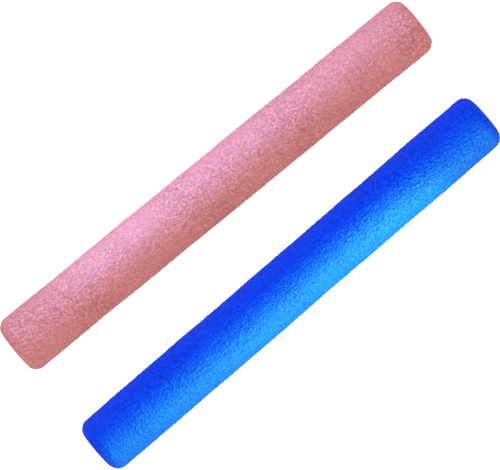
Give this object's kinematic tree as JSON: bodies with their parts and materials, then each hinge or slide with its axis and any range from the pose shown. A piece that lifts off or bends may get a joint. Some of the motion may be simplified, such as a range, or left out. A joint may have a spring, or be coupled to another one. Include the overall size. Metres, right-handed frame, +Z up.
{
  "type": "focus training sticks",
  "caption": "Pair of round soft foam training sticks, one pink and one blue, with rounded ends and a rigid core tube inside each.",
  "frame": {"origin": "centre of the pair's footprint, on the surface that the sticks lie on", "axes": "+X along the pink stick, +Y across the pair from the blue stick to the pink one, +Z up"},
  "size_m": [0.6012, 0.2204, 0.071],
  "materials": {
    "pink_foam": "satin closed-cell polyethylene foam with a pebbled skin",
    "blue_foam": "satin closed-cell polyethylene foam with a pebbled skin",
    "core_tube": "extruded grey PVC",
    "core_cap": "moulded black LDPE"
  },
  "bodies": {
    "pink_stick": {"pink_foam_sleeve": "pink_foam", "pink_core_tube": "core_tube", "pink_core_cap_left": "core_cap", "pink_core_cap_right": "core_cap", "pink_end_plug_left": "pink_foam", "pink_end_plug_right": "pink_foam"},
    "blue_stick": {"blue_foam_sleeve": "blue_foam", "blue_core_tube": "core_tube", "blue_core_cap_left": "core_cap", "blue_core_cap_right": "core_cap", "blue_end_plug_left": "blue_foam", "blue_end_plug_right": "blue_foam"}
  },
  "joints": [
    {"name": "sticks_apart", "type": "slide", "parent": "pink_stick", "child": "blue_stick", "axis": [0, -1, 0], "range_m": [-0.062, 0.5]}
  ]
}
